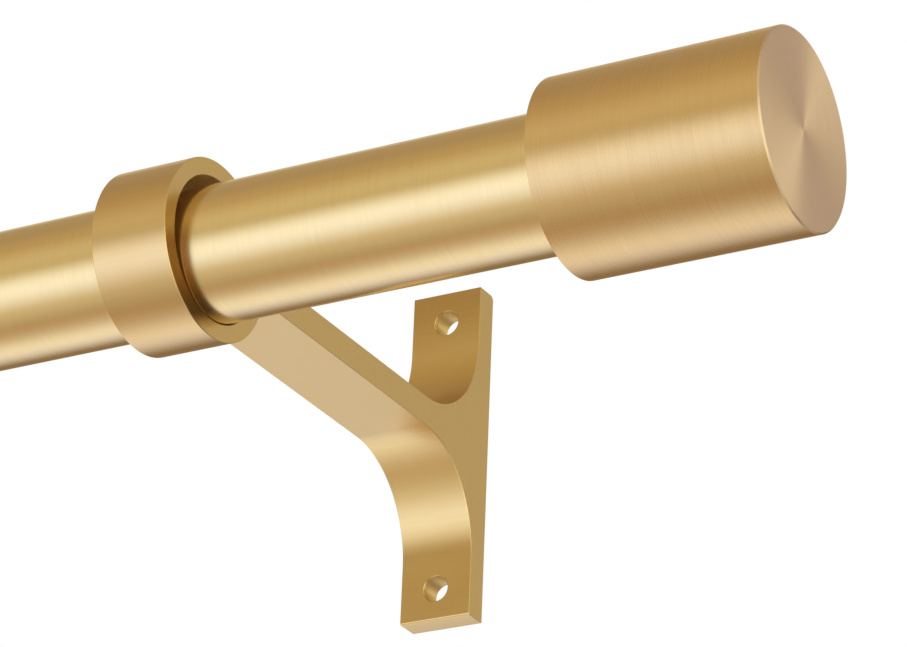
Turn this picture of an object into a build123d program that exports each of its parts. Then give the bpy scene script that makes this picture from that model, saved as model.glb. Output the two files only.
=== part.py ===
from build123d import *
from math import cos, radians, sin, sqrt
import os

# Extendable curtain rod with two wall brackets, drawn at its shortest. Millimetres, +Z up.
# +X runs along the rod to the finial of the fixed half, +Y points at the wall, and the wall is the plane y = 0.
# The origin is the middle of the right-hand bracket's plate, on the wall.

# Bracket: one extrusion with a closed ring, a level arm and an upright wall plate.
BRACKET_WIDTH = 15.5
REACH = 103.3
RING_RADIUS = 17.15
BORE_RADIUS = 13.85
BORE_EDGE = 0.2
ARM_THICKNESS = 6.0
PLATE_THICKNESS = 5.3
PLATE_HEIGHT = 71.0
LEG_FILLET = 20.0
TOP_CORNER = 1.1
FOOT_EDGE = 0.4
WALL_HOLE_RADIUS = 2.65
WALL_HOLE_PITCH = 57.8

# Tubes: the thin one slides in the wide one, and both share one axis.
OUTER_RADIUS = 12.7
OUTER_WALL = 1.0
INNER_RADIUS = 11.1
INNER_WALL = 0.9

# Lengths along the rod at its shortest, between the mouths of the two finials.
SHORTEST = 711.0
BRACKET_TO_FINIAL = 80.0
INNER_SHOWING = 110.0
INNER_END_ROOM = 20.0

# Finials: turned caps with a stepped blind bore that ends in a drill point.
FINIAL_RADIUS = 18.0
FINIAL_LENGTH = 43.8
FINIAL_EDGE = 0.3
SOCKET_DEPTH = 20.0
RELIEF_RADIUS = 10.8
RELIEF_DEPTH = 32.0
DRILL_POINT = 5.0

# Grub screws with a hexagon socket and a chamfered point.
SCREW_RADIUS = 2.0
SCREW_POINT = 0.6
SCREW_SINK = 0.5
KEY_ACROSS_FLATS = 2.0
KEY_DEPTH = 1.8
COUNTERSINK = 0.5
RING_SCREW_LEAN = 45.0

# Plastic pieces: a bush in the wide tube's mouth, a plug in the thin tube's end, a sleeve in the left finial.
BUSH_LENGTH = 16.0
BUSH_LIP = 1.2
SLIT = 1.2
PLUG_STEM = 14.0
PLUG_HEAD = 3.0
PLUG_WALL = 2.0
FLUTES = 4
FLUTE_WIDTH = 2.4
FLUTE_DEPTH = 0.6

# Clearances.
REST_GAP = 0.05
SLIDE_GAP = 0.05
SEAT_GAP = 0.01
SOCKET_GAP = 0.05
END_GAP = 0.05
SCREW_GAP = 0.05
POINT_GAP = 0.02
WINDOW_GAP = 0.3
CUT = 1.0

# The tubes rest on the bottom of each ring's bore, so their axis lies a little under the ring's centre.
AXIS_Y = -REACH
AXIS_Z = OUTER_RADIUS + REST_GAP - BORE_RADIUS
LEFT_LIFT = AXIS_Z + BORE_RADIUS - REST_GAP - INNER_RADIUS
OUTER_BORE = OUTER_RADIUS - OUTER_WALL
INNER_BORE = INNER_RADIUS - INNER_WALL
SOCKET_RADIUS = OUTER_RADIUS + SOCKET_GAP
RIGHT_MOUTH = BRACKET_TO_FINIAL
LEFT_MOUTH = RIGHT_MOUTH - SHORTEST
LEFT_BRACKET_X = LEFT_MOUTH + BRACKET_TO_FINIAL
OUTER_RIGHT_END = RIGHT_MOUTH + SOCKET_DEPTH - END_GAP
OUTER_LEFT_END = LEFT_MOUTH + INNER_SHOWING
INNER_LEFT_END = LEFT_MOUTH - SOCKET_DEPTH + END_GAP
INNER_RIGHT_END = OUTER_RIGHT_END - INNER_END_ROOM
SCREW_HOLE_RADIUS = SCREW_RADIUS + SCREW_GAP

os.makedirs("parts", exist_ok=True)


def turned(points):
    """A solid of revolution about the rod's axis. Each point is a place along X and a radius."""
    face = make_face(Polyline(*points, close=True))
    return Pos(0, AXIS_Y, AXIS_Z) * revolve(face, Axis.X, 360)


def tube(radius, bore, left, right):
    """A length of tube with square-cut ends."""
    return turned([(left, bore), (left, radius), (right, radius), (right, bore)])


def cross_bore(along, start, stop, direction, radius):
    """A round cutter at one place along the rod, running from start to stop beyond the rod's axis."""
    cutter = Pos(0, 0, (start + stop) / 2) * Cylinder(radius, stop - start)
    return Pos(along, AXIS_Y, AXIS_Z) * direction * cutter


def screw_hole(along, inside, surface, direction):
    """The tapped hole of a grub screw, with a countersunk mouth at the surface."""
    hole = cross_bore(along, inside, surface + CUT, direction, SCREW_HOLE_RADIUS)
    sink = Pos(0, 0, surface) * Cone(SCREW_HOLE_RADIUS, SCREW_HOLE_RADIUS + 2 * COUNTERSINK, 2 * COUNTERSINK)
    return hole + Pos(along, AXIS_Y, AXIS_Z) * direction * sink


def grub_screw(along, foot, surface, direction):
    """A headless screw from its foot to just under the surface, with its socket outward."""
    length = surface - SCREW_SINK - foot
    face = make_face(Polyline(
        (0, 0), (SCREW_RADIUS - SCREW_POINT, 0), (SCREW_RADIUS, SCREW_POINT),
        (SCREW_RADIUS, length), (0, length), close=True))
    body = revolve(Plane.XZ * face, Axis.Z, 360)
    key = extrude(RegularPolygon(KEY_ACROSS_FLATS / 2, 6, major_radius=False), KEY_DEPTH + CUT)
    body -= Pos(0, 0, length - KEY_DEPTH) * key
    return Pos(along, AXIS_Y, AXIS_Z) * direction * Pos(0, 0, foot) * body


UP = Rot(0, 0, 0)
TO_WALL = Rot(-90, 0, 0)
LEANING_BACK = Rot(-RING_SCREW_LEAN, 0, 0)


def bracket_profile():
    """The bracket's outline, with the distance from the wall across and the height up."""
    front = -PLATE_THICKNESS
    half_arm = ARM_THICKNESS / 2
    arm_length = REACH - PLATE_THICKNESS + CUT
    profile = Pos(-REACH, 0) * Circle(RING_RADIUS)
    profile += Pos(arm_length / 2 - REACH, 0) * Rectangle(arm_length, ARM_THICKNESS)
    profile += Pos(front / 2, 0) * Rectangle(PLATE_THICKNESS, PLATE_HEIGHT)
    side = LEG_FILLET + CUT
    for way in (1, -1):
        block = Pos(front + CUT - side / 2, way * (half_arm - CUT + side / 2)) * Rectangle(side, side)
        scoop = Pos(front - LEG_FILLET, way * (half_arm + LEG_FILLET)) * Circle(LEG_FILLET)
        profile += block - scoop
    return profile - Pos(-REACH, 0) * Circle(BORE_RADIUS)


def bracket(along, lift):
    """Ring, arm and wall plate in one piece, at one place along the rod and lifted to carry its tube."""
    body = extrude(Plane.YZ * bracket_profile(), BRACKET_WIDTH / 2, both=True)
    ends = body.edges().filter_by(Axis.X)
    top_back = ends.sort_by(Axis.Z)[-2:].sort_by(Axis.Y)[-1]
    foot_front = ends.sort_by(Axis.Z)[:2].sort_by(Axis.Y)[0]
    body = fillet(top_back, TOP_CORNER)
    body = chamfer(foot_front, FOOT_EDGE)
    rims = [edge for edge in body.edges().filter_by(GeomType.CIRCLE) if abs(edge.radius - BORE_RADIUS) < SEAT_GAP]
    body = chamfer(rims, BORE_EDGE)
    for way in (1, -1):
        drill = Rot(90, 0, 0) * Cylinder(WALL_HOLE_RADIUS, PLATE_THICKNESS + 2 * CUT)
        body -= Pos(0, -PLATE_THICKNESS / 2, way * WALL_HOLE_PITCH / 2) * drill
    body -= Pos(0, 0, -AXIS_Z) * screw_hole(0, 0, RING_RADIUS, LEANING_BACK)
    return Pos(along, 0, lift) * body


def ring_screw(along, lift, tube_radius):
    """The grub screw in a bracket's ring, between its top and the wall. It points at the ring's centre, which lies
    above the tube's axis, so one side of its point comes nearest to the tube."""
    drop = lift - AXIS_Z
    lean = radians(RING_SCREW_LEAN)
    aside = max(0, drop * sin(lean) - SCREW_RADIUS + SCREW_POINT)
    foot = sqrt((tube_radius + POINT_GAP) ** 2 - aside ** 2) - drop * cos(lean)
    return Pos(0, 0, drop) * grub_screw(along, foot, RING_RADIUS, LEANING_BACK)


def finial(mouth, outward):
    """A turned cap that opens at the mouth and runs outward along X, with a screw hole that faces the wall."""
    outline = [
        (0, SOCKET_RADIUS), (0, FINIAL_RADIUS - FINIAL_EDGE), (FINIAL_EDGE, FINIAL_RADIUS),
        (FINIAL_LENGTH - FINIAL_EDGE, FINIAL_RADIUS), (FINIAL_LENGTH, FINIAL_RADIUS - FINIAL_EDGE), (FINIAL_LENGTH, 0),
        (RELIEF_DEPTH + DRILL_POINT, 0), (RELIEF_DEPTH, RELIEF_RADIUS), (SOCKET_DEPTH, RELIEF_RADIUS),
        (SOCKET_DEPTH, SOCKET_RADIUS),
    ]
    body = turned([(mouth + outward * depth, radius) for depth, radius in outline])
    return body - screw_hole(mouth + outward * SOCKET_DEPTH / 2, RELIEF_RADIUS, FINIAL_RADIUS, TO_WALL)


def finial_screw(mouth, outward, tube_radius):
    """The grub screw at the back of a finial."""
    return grub_screw(mouth + outward * SOCKET_DEPTH / 2, tube_radius + POINT_GAP, FINIAL_RADIUS, TO_WALL)


def slit_cutter(left, right, radius, direction):
    """A narrow box that opens a sleeve along its whole length."""
    box = Pos(0, 0, radius) * Box(right - left + 2 * CUT, SLIT, radius)
    return Pos((left + right) / 2, AXIS_Y, AXIS_Z) * direction * box


def mouth_bush():
    """A thin slit sleeve with a lip, pushed into the open end of the wide tube for the thin one to slide in."""
    bore = INNER_RADIUS + SLIDE_GAP
    seat = OUTER_BORE - SEAT_GAP
    lip = OUTER_LEFT_END - BUSH_LIP
    body = turned([
        (lip, bore), (lip, OUTER_RADIUS), (OUTER_LEFT_END, OUTER_RADIUS),
        (OUTER_LEFT_END, seat), (OUTER_LEFT_END + BUSH_LENGTH, seat), (OUTER_LEFT_END + BUSH_LENGTH, bore),
    ])
    return body - slit_cutter(lip, OUTER_LEFT_END + BUSH_LENGTH, OUTER_RADIUS, TO_WALL)


def glide_plug():
    """A ring-shaped plug in the thin tube's hidden end. Its fluted head runs in the wide tube."""
    head = OUTER_BORE - SLIDE_GAP
    stem = INNER_BORE - SEAT_GAP
    start = INNER_RIGHT_END - PLUG_STEM
    stop = INNER_RIGHT_END + PLUG_HEAD
    body = turned([
        (start, stem - PLUG_WALL), (start, stem), (INNER_RIGHT_END, stem),
        (INNER_RIGHT_END, head), (stop, head), (stop, stem - PLUG_WALL),
    ])
    for turn in range(FLUTES):
        flute = Pos(0, 0, head) * Box(PLUG_HEAD + SEAT_GAP, FLUTE_WIDTH, 2 * FLUTE_DEPTH)
        place = Pos((INNER_RIGHT_END + stop) / 2, AXIS_Y, AXIS_Z)
        body -= place * Rot((turn + 0.5) * 360 / FLUTES, 0, 0) * flute
    return body


def finial_sleeve():
    """A slit sleeve that fills the gap between the thin tube and the left finial's socket."""
    outside = SOCKET_RADIUS - SEAT_GAP
    inside = INNER_RADIUS + SEAT_GAP
    body = turned([
        (INNER_LEFT_END, inside), (INNER_LEFT_END, outside), (LEFT_MOUTH, outside), (LEFT_MOUTH, inside),
    ])
    body -= cross_bore(LEFT_MOUTH - SOCKET_DEPTH / 2, 0, FINIAL_RADIUS, TO_WALL, SCREW_RADIUS + WINDOW_GAP)
    return body - slit_cutter(INNER_LEFT_END, LEFT_MOUTH, OUTER_RADIUS, UP)


fixed_half = {
    "bracket_right": bracket(0, 0),
    "bracket_right_set_screw": ring_screw(0, 0, OUTER_RADIUS),
    "outer_tube": tube(OUTER_RADIUS, OUTER_BORE, OUTER_LEFT_END, OUTER_RIGHT_END),
    "mouth_bush": mouth_bush(),
    "finial_right": finial(RIGHT_MOUTH, 1),
    "finial_right_set_screw": finial_screw(RIGHT_MOUTH, 1, OUTER_RADIUS),
}
sliding_half = {
    "inner_tube": tube(INNER_RADIUS, INNER_BORE, INNER_LEFT_END, INNER_RIGHT_END),
    "glide_plug": glide_plug(),
    "finial_left_sleeve": finial_sleeve(),
    "finial_left": finial(LEFT_MOUTH, -1),
    "finial_left_set_screw": finial_screw(LEFT_MOUTH, -1, INNER_RADIUS),
    "bracket_left": bracket(LEFT_BRACKET_X, LEFT_LIFT),
    "bracket_left_set_screw": ring_screw(LEFT_BRACKET_X, LEFT_LIFT, INNER_RADIUS),
}

for name, shape in {**fixed_half, **sliding_half}.items():
    box = shape.bounding_box()
    print(name, "from", tuple(box.min), "to", tuple(box.max))
    export_step(shape, "parts/" + name + ".step")
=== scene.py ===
"""Looks of an extendable curtain rod: brass tubes, one-piece ring brackets, turned caps and small fittings.

Every length is in metres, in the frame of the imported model: +X runs along the rod to the cap of the fixed
half, +Y points at the wall and +Z up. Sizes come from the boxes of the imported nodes, and the details that a
box can't give, such as walls and eased edges, are fields of the classes.
"""

import logging
import math
from collections.abc import Callable
from dataclasses import dataclass
from enum import Enum

import bmesh
import bpy
from mathutils import Matrix, Vector


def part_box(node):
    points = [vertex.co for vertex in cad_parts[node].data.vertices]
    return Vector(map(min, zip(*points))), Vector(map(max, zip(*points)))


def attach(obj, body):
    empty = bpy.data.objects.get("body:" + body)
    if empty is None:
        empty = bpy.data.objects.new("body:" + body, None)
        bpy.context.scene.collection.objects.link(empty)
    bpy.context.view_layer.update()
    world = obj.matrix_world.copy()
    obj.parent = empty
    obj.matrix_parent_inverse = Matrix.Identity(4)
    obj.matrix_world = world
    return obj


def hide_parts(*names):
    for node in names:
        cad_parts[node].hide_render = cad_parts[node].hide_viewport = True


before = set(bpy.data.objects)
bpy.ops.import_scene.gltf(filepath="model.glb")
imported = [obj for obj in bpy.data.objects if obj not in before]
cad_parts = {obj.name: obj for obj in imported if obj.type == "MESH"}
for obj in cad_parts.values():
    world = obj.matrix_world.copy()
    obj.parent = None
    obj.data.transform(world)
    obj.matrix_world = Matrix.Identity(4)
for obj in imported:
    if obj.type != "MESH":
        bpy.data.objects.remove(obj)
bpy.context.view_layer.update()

LOG = logging.getLogger("curtain_rod")

MM = 0.001
TURN = 2 * math.pi
WHITE = (1, 1, 1, 1)
# Points nearer to each other than this, in metres, are one point.
WELD = 1e-7
# Edges shorter than this, in millimetres, are dissolved after a cut.
SLIVER = 1e-4
# Corners sharper than this are shaded as edges, and only these are eased.
SHARP = math.radians(24)
# Flats in a turn of the large rounds, of the small ones and of a thread, in a small corner and in a
# turn of a hexagon.
ROUND_STEPS = 192
FINE_STEPS = 96
THREAD_STEPS = 32
CORNER_STEPS = 8
HEXAGON_STEPS = 6
# How fine brushed lines are along their run, as a share of how fine they are across it.
LINE_WAVER = 0.02
# The range that most of a noise pattern lies in, and the range of a share.
NOISE_SPAN = (0.3, 0.7)
SHARE_SPAN = (0.0, 1.0)
# The numbers of a Mix node's two inputs and of its output, by its data type.
MIX_SOCKETS = {"RGBA": (6, 7, 2), "VECTOR": (4, 5, 1)}
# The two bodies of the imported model.
FIXED = "fixed_half"
SLIDING = "sliding_half"
# The bracket's sizes that its finish needs too.
RING_RADIUS = 17.15 * MM
BORE_RADIUS = 13.85 * MM
WALL_HOLE_RADIUS = 2.65 * MM
WALL_HOLE_PITCH = 57.8 * MM
# The photograph's width in pixels.
PHOTO_WIDTH = 907

Triple = tuple[float, float, float]
Colour = Triple
Outline = list[tuple[float, float]]
Span = tuple[float, float]
Socket = bpy.types.NodeSocket


class Way(Enum):
    """A direction that a spindle points in."""

    ALONG = Vector((1, 0, 0))
    TO_WALL = Vector((0, 1, 0))
    LEANING_BACK = Vector((0, 1, 1)).normalized()


class Lay(Enum):
    """How the fine lines of a finish run over a piece."""

    ROUND = "round the rod"
    DRAWN = "along the rod on swept faces, up and down on sawn ends"


class Where(Enum):
    """A part of a piece that has a tone of its own. Some of these tones are painted light or shade."""

    ENDS = "faces square to the rod"
    ARM_AND_PLATE = "everything outside the ring"
    # Painted shade: the wall plate turns darker towards its upper end.
    SHADED_PLATE_TOP = "the upper end of the wall plate"
    # Painted light: the faces that look down are paler, as if lit from below.
    LIT_UNDERSIDE = "faces of the arm and plate that look down"
    WALL_HOLES = "the walls of the two wall holes"
    BORE = "the wall of the ring's bore"
    # Painted highlight: a paler colour on the eased corners that tunes the light line along the rims.
    RIM_HIGHLIGHT = "eased corners between the rounds and the ends"


@dataclass(frozen=True)
class Spindle:
    """An axis that pieces are turned on.

    Args:
        foot: A point on the axis, where its measure starts.
        way: The direction of the axis.
    """

    foot: Vector
    way: Way

    def side(self) -> Vector:
        """A direction square to the axis."""
        return self.way.value.yzx.cross(self.way.value).normalized()

    def place(self, along: float, radius: float) -> Vector:
        """The point at a distance along the axis and a radius from it."""
        return self.foot + self.way.value * along + self.side() * radius


def stand(name: str, mesh: bmesh.types.BMesh) -> bpy.types.Object:
    """Puts a mesh in the scene as an object at the origin.

    Args:
        name: The object's name.
        mesh: Its shape, which is left as it is.

    Returns:
        The new object.
    """
    data = bpy.data.meshes.new(name)
    mesh.to_mesh(data)
    made = bpy.data.objects.new(name, data)
    bpy.context.scene.collection.objects.link(made)
    return made


def spin(mesh: bmesh.types.BMesh, parts: list, centre: Vector, axis: Vector, angle: float, steps: int,
         climb: Vector | Triple = (0, 0, 0), whole: bool = False) -> list:
    """Spins parts of a mesh round an axis.

    Args:
        mesh: The mesh.
        parts: Its points, edges and faces to spin.
        centre: A point on the axis.
        axis: The direction of the axis.
        angle: How far they turn, in radians.
        steps: Flats on the way.
        climb: How far they move at each step.
        whole: Whether the last flat meets the first.

    Returns:
        The parts at the end of the way.
    """
    return bmesh.ops.spin(
        mesh, geom=parts, cent=centre, axis=axis, dvec=climb, angle=angle, steps=steps, use_merge=whole,
        use_normal_flip=False, use_duplicate=False, space=Matrix.Identity(4),
    )["geom_last"]


class Workpiece:
    """A mesh in the making, shaped step by step as a workshop would."""

    def __init__(self) -> None:
        """Starts with nothing."""
        self.mesh = bmesh.new()

    def turn(self, outline: Outline, spindle: Spindle, steps: int = ROUND_STEPS) -> "Workpiece":
        """Spins a closed outline once round a spindle.

        Args:
            outline: Places along the spindle and radii, in order round the section.
            spindle: The axis to turn on.
            steps: Flats in one turn.

        Returns:
            This workpiece.
        """
        corners = [self.mesh.verts.new(spindle.place(along, radius)) for along, radius in outline]
        touching = [abs(radius) < WELD for _, radius in outline]
        sides = []
        for index, corner in enumerate(corners):
            following = (index + 1) % len(corners)
            if not (touching[index] and touching[following]):
                sides.append(self.mesh.edges.new((corner, corners[following])))
        spin(self.mesh, corners + sides, spindle.foot, spindle.way.value, TURN, steps, whole=True)
        return self.weld()

    def weld(self) -> "Workpiece":
        """Merges doubled points and points all faces outwards.

        Returns:
            This workpiece.
        """
        bmesh.ops.remove_doubles(self.mesh, verts=self.mesh.verts[:], dist=WELD)
        bmesh.ops.recalc_face_normals(self.mesh, faces=self.mesh.faces[:])
        return self

    def ease(self, width: float, where: Callable[[Vector], bool], segments: int) -> "Workpiece":
        """Bevels the corners that pass a test.

        Args:
            width: How far the bevel reaches from the corner.
            where: Says yes for the middle of each edge to bevel.
            segments: Faces across the bevel.

        Returns:
            This workpiece.
        """
        corners = [
            edge for edge in self.mesh.edges
            if edge.calc_face_angle(0) > SHARP and where((edge.verts[0].co + edge.verts[1].co) / 2)
        ]
        bmesh.ops.bevel(
            self.mesh, geom=corners, offset=width, offset_type="OFFSET", affect="EDGES", segments=segments,
            profile=0.5, clamp_overlap=True, material=-1, loop_slide=True,
        )
        return self

    def cut(self, *others: "Workpiece") -> "Workpiece":
        """Takes the room of other workpieces out of this one.

        The work is done at the origin and in millimetres, where the rounding of numbers is smallest.

        Args:
            others: The tools.

        Returns:
            This workpiece.
        """
        body = stand("blank", self.mesh)
        tools = [stand("tool", other.mesh) for other in others]
        corners = [point.co for point in self.mesh.verts]
        middle = sum(corners, Vector()) / len(corners)
        bench = Matrix.Scale(1 / MM, 4) @ Matrix.Translation(-middle)
        for used in (body, *tools):
            used.data.transform(bench)
        for tool in tools:
            step = body.modifiers.new("step", "BOOLEAN")
            step.operation = "DIFFERENCE"
            step.solver = "EXACT"
            step.object = tool
        bpy.context.view_layer.update()
        shaped = bpy.data.meshes.new_from_object(body.evaluated_get(bpy.context.evaluated_depsgraph_get()))
        self.mesh.clear()
        self.mesh.from_mesh(shaped)
        bmesh.ops.dissolve_degenerate(self.mesh, dist=SLIVER, edges=self.mesh.edges[:])
        self.mesh.transform(bench.inverted())
        for used in (body, *tools):
            bpy.data.objects.remove(used)
        bpy.data.meshes.remove(shaped)
        return self

    def carry(self, shell: "Workpiece") -> "Workpiece":
        """Sets another closed shell on this workpiece, sunk a little into it.

        Args:
            shell: The other shell.

        Returns:
            This workpiece.
        """
        data = bpy.data.meshes.new("shell")
        shell.mesh.to_mesh(data)
        self.mesh.from_mesh(data)
        bpy.data.meshes.remove(data)
        return self

    def finish(self, node: str, body: str, slot: str, material: bpy.types.Material) -> bpy.types.Object:
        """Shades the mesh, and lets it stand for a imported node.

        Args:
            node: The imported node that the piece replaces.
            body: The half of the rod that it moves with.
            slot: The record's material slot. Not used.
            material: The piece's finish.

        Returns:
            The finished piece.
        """
        for face in self.mesh.faces:
            face.smooth = True
        for edge in self.mesh.edges:
            edge.smooth = edge.calc_face_angle(0) < SHARP
        piece = stand(node + "_look", self.mesh)
        self.mesh.free()
        piece.data.materials.append(material)
        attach(piece, body)
        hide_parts(node)
        LOG.info("%s has %d faces and rides on %s", piece.name, len(piece.data.polygons), body)
        return piece


def block(low: Vector, high: Vector) -> Workpiece:
    """A rectangular block between two corners.

    Args:
        low: The lowest corner.
        high: The highest corner.

    Returns:
        The block.
    """
    made = Workpiece()
    place = Matrix.Translation((low + high) / 2) @ Matrix.Diagonal((*(high - low), 1))
    bmesh.ops.create_cube(made.mesh, size=1, matrix=place)
    return made


def rod_axis() -> Vector:
    """Finds the rod's axis from the wide tube's box.

    Returns:
        The point of the axis at X 0.
    """
    low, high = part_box("outer_tube")
    middle = (low + high) / 2
    return Vector((0, middle.y, middle.z))


AXIS = rod_axis()
ROD = Spindle(AXIS, Way.ALONG)


@dataclass(frozen=True)
class SoftPanel:
    """A long soft panel of the studio, in line with the rod, that the metal shows as a band.

    Args:
        name: What the panel is.
        angle: Degrees round the rod from straight in front, up being positive.
        half_width: Degrees from its middle to the middle of its soft edge.
        feather: Half the width of that edge in degrees.
        light: Its light by colour.
    """

    name: str
    angle: float
    half_width: float
    feather: float
    light: Colour


@dataclass(frozen=True)
class Window:
    """A round softbox of the studio.

    Args:
        name: What the softbox is.
        aim: The way to its middle.
        half_width: Degrees from its middle to the middle of its soft edge.
        feather: Half the width of that edge in degrees.
        light: Its light by colour.
    """

    name: str
    aim: Triple
    half_width: float
    feather: float
    light: Colour


class NodeSheet:
    """A node tree with a few short ways to add to it."""

    def __init__(self, tree: bpy.types.NodeTree) -> None:
        """Takes the tree to add to."""
        self.tree = tree

    def feed(self, socket: Socket, value: object) -> None:
        """Links an output to an input, or sets the input to a value.

        Args:
            socket: The input.
            value: The output or the value.
        """
        if isinstance(value, Socket):
            self.tree.links.new(value, socket)
        else:
            socket.default_value = value

    def add(self, kind: str, inputs: dict[str | int, object] | None = None,
            **settings: object) -> bpy.types.Node:
        """Adds a node.

        Args:
            kind: The node's type without its ShaderNode prefix.
            inputs: A value, or an output to link, for each input by its name or number.
            settings: Properties of the node.

        Returns:
            The new node.
        """
        node = self.tree.nodes.new("ShaderNode" + kind)
        for name, value in settings.items():
            setattr(node, name, value)
        for key, value in (inputs or {}).items():
            self.feed(node.inputs[key], value)
        return node

    def math(self, operation: str, *values: object) -> Socket:
        """Adds a Math node and returns its output."""
        return self.add("Math", dict(enumerate(values)), operation=operation).outputs[0]

    def vector(self, operation: str, *values: object) -> Socket:
        """Adds a Vector Math node and returns its output."""
        node = self.add("VectorMath", dict(enumerate(values)), operation=operation)
        return node.outputs["Value" if operation in ("LENGTH", "DOT_PRODUCT") else "Vector"]

    def place(self) -> Socket:
        """Adds the place on the piece and returns its output."""
        return self.add("TexCoord").outputs["Object"]

    def parts(self, vector: Socket) -> tuple[Socket, ...]:
        """Adds the split of a vector and returns its three parts."""
        return tuple(self.add("SeparateXYZ", {0: vector}).outputs)

    def joined(self, *parts: object) -> Socket:
        """Adds a vector, or a colour, made of its parts and returns its output."""
        return self.add("CombineXYZ", dict(enumerate(parts))).outputs[0]

    def degrees_round_rod(self, y: Socket, z: Socket) -> Socket:
        """Adds the angle round the rod from straight in front, up being positive, and returns its output."""
        return self.math("DEGREES", self.math("ARCTAN2", z, self.math("MULTIPLY", y, -1.0)))

    def noise(self, place: Socket, scale: object, detail: float, roughness: float) -> Socket:
        """Adds a noise pattern and returns its output."""
        inputs = {"Vector": place, "Scale": scale, "Detail": detail, "Roughness": roughness}
        return self.add("TexNoise", inputs).outputs["Fac"]

    def ramp(self, value: Socket, start: float, stop: float) -> Socket:
        """Adds a smooth rise from 0 at the start to 1 at the stop and returns its output."""
        return self.add("MapRange", {0: value, 1: start, 2: stop}, interpolation_type="SMOOTHSTEP").outputs[0]

    def beyond(self, value: Socket, size: float, margin: Span) -> Socket:
        """Adds a smooth rise from 0 to 1 in the margin beyond a size and returns its output."""
        return self.ramp(value, size + margin[0], size + margin[1])

    def rest(self, share: Socket) -> Socket:
        """Adds what a share leaves of 1 and returns its output."""
        return self.math("SUBTRACT", 1.0, share)

    def near(self, value: Socket, full: float, none: float) -> Socket:
        """Adds a smooth fall from 1, while a value's size is up to one limit, to 0 at another."""
        return self.rest(self.ramp(self.math("ABSOLUTE", value), full, none))

    def remap(self, value: Socket, source: Span, target: tuple[object, object]) -> Socket:
        """Adds a straight change from one range to another, held at its ends, and returns its output."""
        return self.add("MapRange", dict(enumerate((value, *source, *target)))).outputs[0]

    def blend(self, first: Socket, second: Socket, share: float) -> Socket:
        """Adds a share of one number and the rest of another, and returns the output."""
        return self.math("ADD", self.math("MULTIPLY", first, share), self.math("MULTIPLY", second, 1 - share))

    def scaled(self, colour: object, share: Socket) -> Socket:
        """Adds a colour times a share and returns its output."""
        return self.add("VectorMath", {0: colour, "Scale": share}, operation="SCALE").outputs[0]

    def mix(self, share: object, first: object, second: object, kind: str = "RGBA") -> Socket:
        """Adds a mix of two colours or of two vectors.

        Args:
            share: How much of the second is in it.
            first: The first colour or vector.
            second: The second one.
            kind: RGBA for colours and VECTOR for vectors.

        Returns:
            Its output.
        """
        node = self.add("Mix", data_type=kind)
        one, two, result = MIX_SOCKETS[kind]
        self.feed(node.inputs[0], share)
        self.feed(node.inputs[one], first)
        self.feed(node.inputs[two], second)
        return node.outputs[result]

    def put_out(self, results: dict[str, Socket]) -> bpy.types.NodeTree:
        """Links a group's results to its outputs.

        Args:
            results: What goes to each output, by its name.

        Returns:
            The group.
        """
        outputs = self.tree.nodes.new("NodeGroupOutput").inputs
        for name, socket in results.items():
            self.tree.links.new(socket, outputs[name])
        return self.tree


def new_material(name: str) -> tuple[bpy.types.Material, NodeSheet]:
    """Makes a material that has no nodes yet.

    Args:
        name: Its name.

    Returns:
        The material and the sheet to add its nodes to.
    """
    material = bpy.data.materials.new(name)
    material.use_nodes = True
    material.node_tree.nodes.clear()
    return material, NodeSheet(material.node_tree)


def new_group(name: str, inputs: dict[str, float | None], outputs: tuple[str, ...]) -> NodeSheet:
    """Starts a node group.

    Args:
        name: Its name.
        inputs: Its inputs, each with the number that it starts at, or None for a vector.
        outputs: Its outputs, which are all numbers.

    Returns:
        The sheet to add its nodes to.
    """
    group = bpy.data.node_groups.new(name, "ShaderNodeTree")
    for label, default in inputs.items():
        kind = "NodeSocketVector" if default is None else "NodeSocketFloat"
        socket = group.interface.new_socket(label, in_out="INPUT", socket_type=kind)
        if default is not None:
            socket.default_value = default
    for label in outputs:
        group.interface.new_socket(label, in_out="OUTPUT", socket_type="NodeSocketFloat")
    return NodeSheet(group)


def glow(sheet: NodeSheet, lit: SoftPanel | Window, away: Socket) -> Socket:
    """Adds a soft light, seen at a number of degrees from its middle, and returns its output."""
    share = sheet.near(away, lit.half_width - lit.feather, lit.half_width + lit.feather)
    return sheet.scaled(lit.light, share)


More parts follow.
